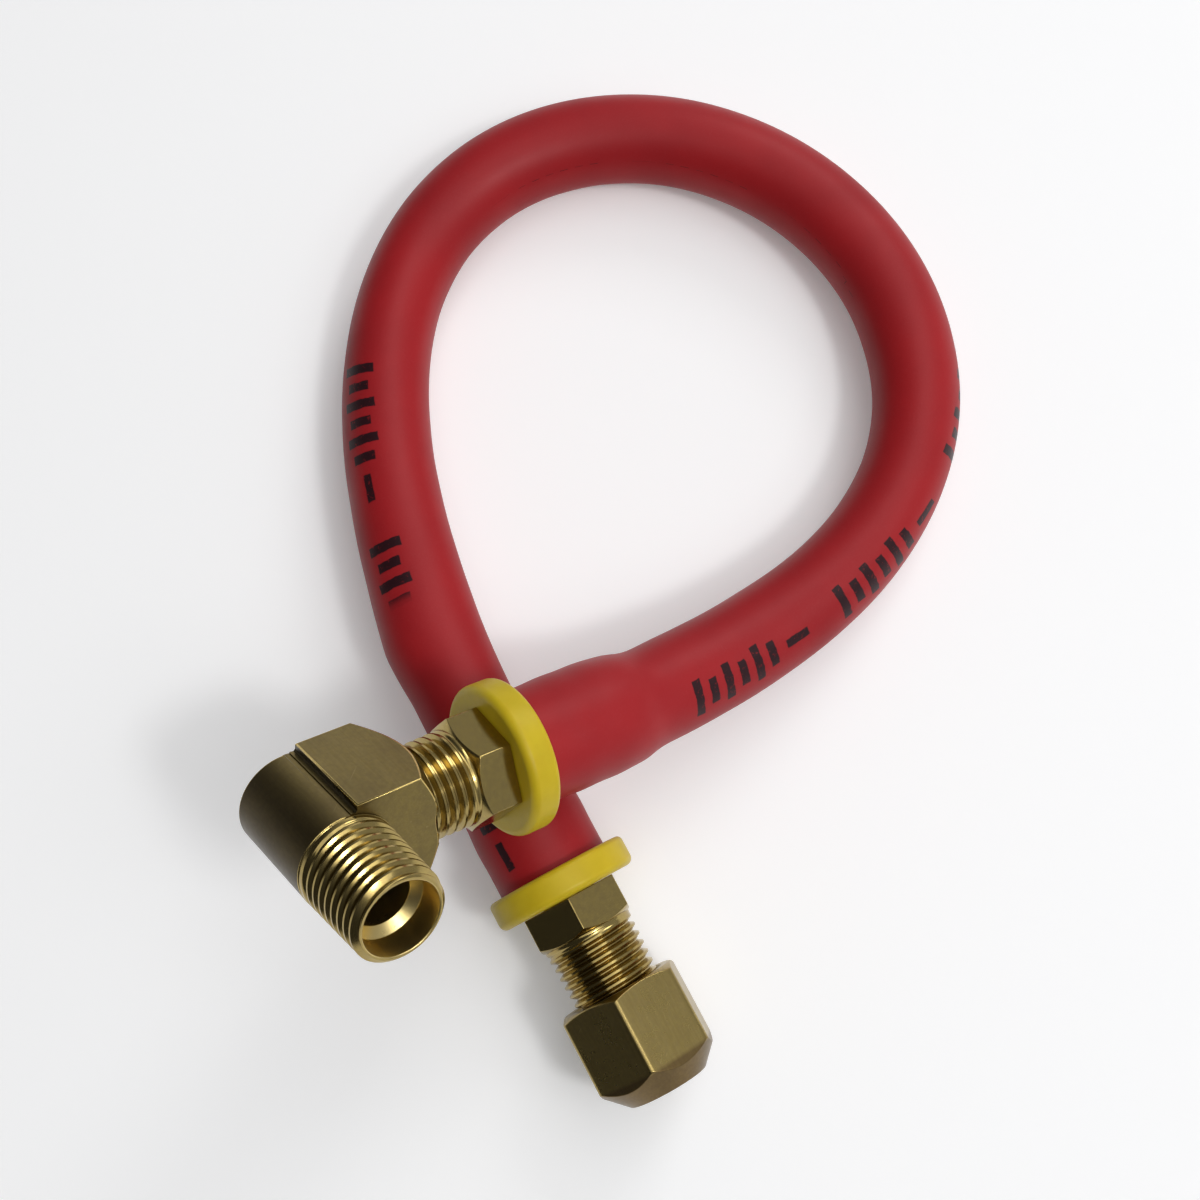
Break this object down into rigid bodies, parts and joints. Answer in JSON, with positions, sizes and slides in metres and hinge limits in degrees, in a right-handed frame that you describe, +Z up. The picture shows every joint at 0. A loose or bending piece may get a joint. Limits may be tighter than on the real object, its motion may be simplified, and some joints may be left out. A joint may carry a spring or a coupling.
{
  "type": "oil drain hose",
  "caption": "Short rubber push-on hose laid in a loop, with a brass street elbow on one end and a brass hex cap closing the other.",
  "frame": {"origin": "on the surface that the part lies on, under the middle of the box round the end fittings, collars, elbow and cap", "axes": "+Z up from that surface; +Y from the cap along the capped end into the hose; +X across, from the elbow's side towards the hose loop"},
  "size_m": [0.1313, 0.1463, 0.0595],
  "materials": {
    "red_rubber": "satin",
    "yellow_plastic": "satin",
    "brass": "satin, machined"
  },
  "bodies": {
    "hose_assembly": {"hose": "red_rubber", "collar_elbow_end": "yellow_plastic", "collar_cap_end": "yellow_plastic", "push_on_fitting_elbow_end": "brass", "push_on_fitting_cap_end": "brass", "street_elbow": "brass"},
    "cap": {"end_cap": "brass"}
  },
  "joints": [
    {"name": "cap_unscrew", "type": "slide", "parent": "hose_assembly", "child": "cap", "axis": [0, -0.9994, -0.0335], "range_m": [0, 0.015]}
  ]
}
